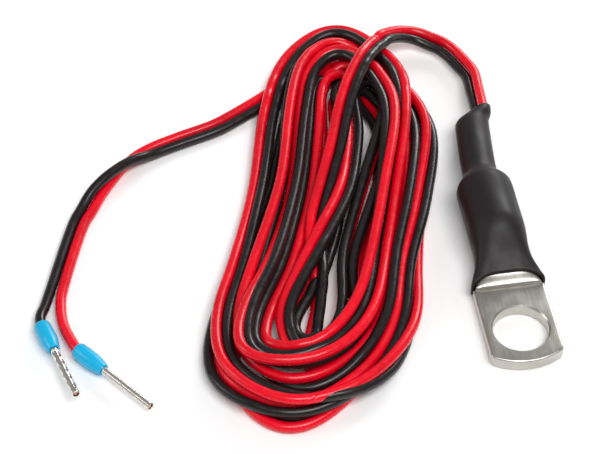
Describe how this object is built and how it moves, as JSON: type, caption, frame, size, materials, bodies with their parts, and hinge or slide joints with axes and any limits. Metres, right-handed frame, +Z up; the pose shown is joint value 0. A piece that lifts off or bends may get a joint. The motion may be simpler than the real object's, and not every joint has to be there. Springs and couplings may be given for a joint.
{
  "type": "ring lug sensor lead",
  "caption": "Ring lug with a potted temperature sensor under heat-shrink, on a red and black twin cord wound in a hank and ending in bootlace ferrules.",
  "frame": {"origin": "middle of the sensor head's footprint (lug and sleeve, without the cord), on the surface it lies on", "axes": "+Y along the lug from its palm to the end of the sleeve where the cord leaves, so the palm points to -Y; +Z up out of the palm's top face; +X to the right seen from above with +Y away"},
  "size_m": [0.0968, 0.1027, 0.0111],
  "materials": {
    "tin_plate": "satin tin plate on copper, with fine rolling marks and rounded, brighter edges",
    "copper": "bright annealed copper",
    "solder": "satin solder",
    "heat_shrink": "semi-matte polyolefin heat-shrink, slightly warm black",
    "potting_resin": "cured filled resin",
    "sensor_case": "moulded black epoxy",
    "ferrule_blue": "glossy cyan-blue polypropylene",
    "cord_red": "glossy bright red PVC insulation",
    "cord_black": "satin black PVC insulation"
  },
  "bodies": {
    "root": {"ring_lug": "tin_plate", "outer_sleeve": "heat_shrink", "inner_sleeve": "heat_shrink", "thermal_potting": "potting_resin", "sensor_chip": "sensor_case", "sensor_lead_positive": "tin_plate", "sensor_lead_negative": "tin_plate", "sensor_lead_trimmed": "tin_plate", "solder_joint_red": "solder", "solder_joint_black": "solder", "joint_sleeve_red": "heat_shrink", "joint_sleeve_black": "heat_shrink", "conductor_red_head": "copper", "conductor_black_head": "copper", "core_red_end": "cord_red", "core_black_end": "cord_black", "cable_red_lead": "cord_red", "cable_black_lead": "cord_black", "cable_hank": "cord_black", "cable_red_tail": "cord_red", "cable_black_tail": "cord_black", "ferrule_collar_red": "ferrule_blue", "ferrule_collar_black": "ferrule_blue", "ferrule_tube_red": "tin_plate", "ferrule_tube_black": "tin_plate", "strands_red": "copper", "strands_black": "copper"}
  },
  "joints": []
}
